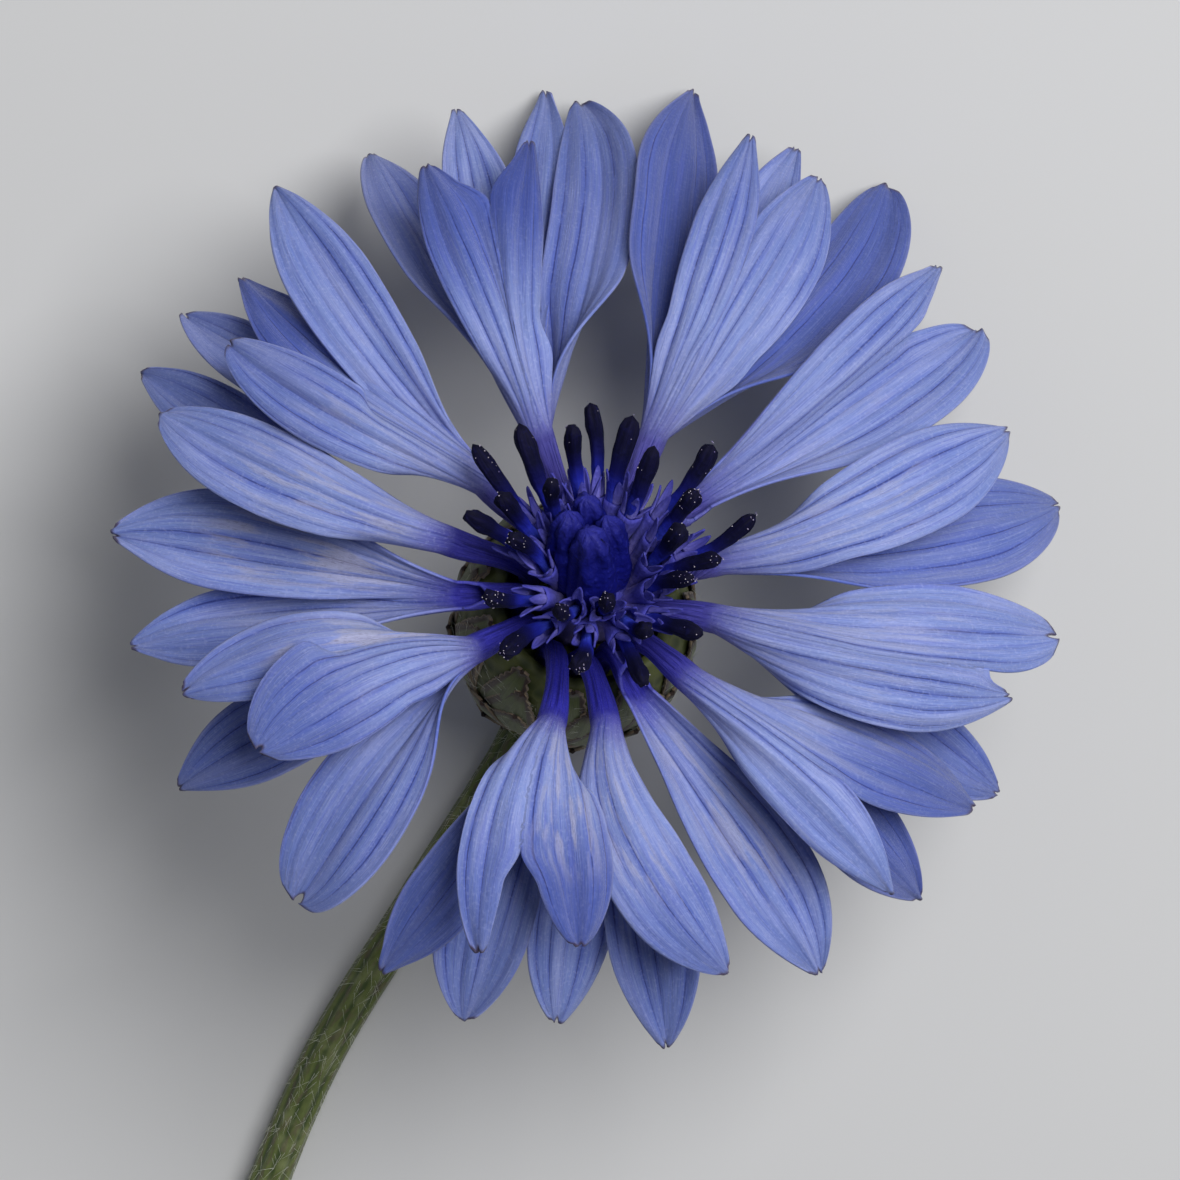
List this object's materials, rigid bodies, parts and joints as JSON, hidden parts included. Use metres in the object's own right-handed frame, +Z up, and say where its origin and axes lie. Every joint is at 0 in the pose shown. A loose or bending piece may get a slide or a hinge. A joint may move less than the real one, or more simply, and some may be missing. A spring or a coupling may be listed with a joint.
{
  "type": "cornflower",
  "caption": "Cut cornflower laid down on its stem, with a blue head of lobed trumpet-shaped ray florets, violet disc florets and a scaly green involucre.",
  "frame": {"origin": "on the surface that the flower lies on, under the centre of its bounding box", "axes": "+Z up from the surface, +Y along the lying stem from the head to the cut end, +X to the right seen from the head's side with +Z up"},
  "size_m": [0.043, 0.1024, 0.03],
  "materials": {
    "stem": "green herb stem with fine pale hairs",
    "bracts": "dry green bracts with brown fringed edges",
    "ray_petal": "soft matte blue petal with fine darker veins",
    "disc_corolla": "deep violet-blue corollas with near-black anther tubes"
  },
  "bodies": {
    "root": {"stem": "stem", "involucre": "bracts", "disc_florets": "disc_corolla", "ray_floret_01": "ray_petal", "ray_floret_02": "ray_petal", "ray_floret_03": "ray_petal", "ray_floret_04": "ray_petal", "ray_floret_05": "ray_petal", "ray_floret_06": "ray_petal", "ray_floret_07": "ray_petal", "ray_floret_08": "ray_petal", "ray_floret_09": "ray_petal", "ray_floret_10": "ray_petal", "ray_floret_11": "ray_petal", "ray_floret_12": "ray_petal", "ray_floret_13": "ray_petal"}
  },
  "joints": []
}
